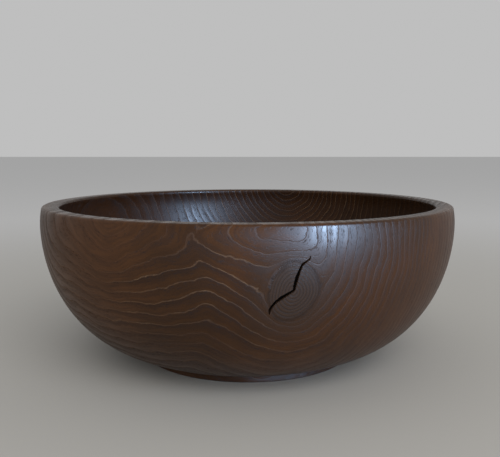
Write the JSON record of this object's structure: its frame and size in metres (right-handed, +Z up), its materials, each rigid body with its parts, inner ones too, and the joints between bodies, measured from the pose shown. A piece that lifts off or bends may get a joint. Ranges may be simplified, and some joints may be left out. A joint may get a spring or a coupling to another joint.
{
  "type": "wooden bowl",
  "caption": "Round turned wooden bowl with a flat rim and a low foot ring, and a branch knot in the wall with a filled crack across it.",
  "frame": {"origin": "on the table under the centre of the foot ring, in the plane of the foot's resting face", "axes": "+Z up along the turning axis, out of the bowl's mouth; -Y towards the viewer of the side with the knot, which lies 9.4 degrees from -Y towards +X; +X to that viewer's right"},
  "size_m": [0.3, 0.3, 0.113],
  "materials": {
    "wood": "dark stained open-grained wood, satin oil",
    "knot_wood": "darker branch wood, satin oil",
    "filler": "black resin, smooth"
  },
  "bodies": {
    "root": {"bowl_body": "wood", "knot": "knot_wood", "crack_filler": "filler"}
  },
  "joints": []
}
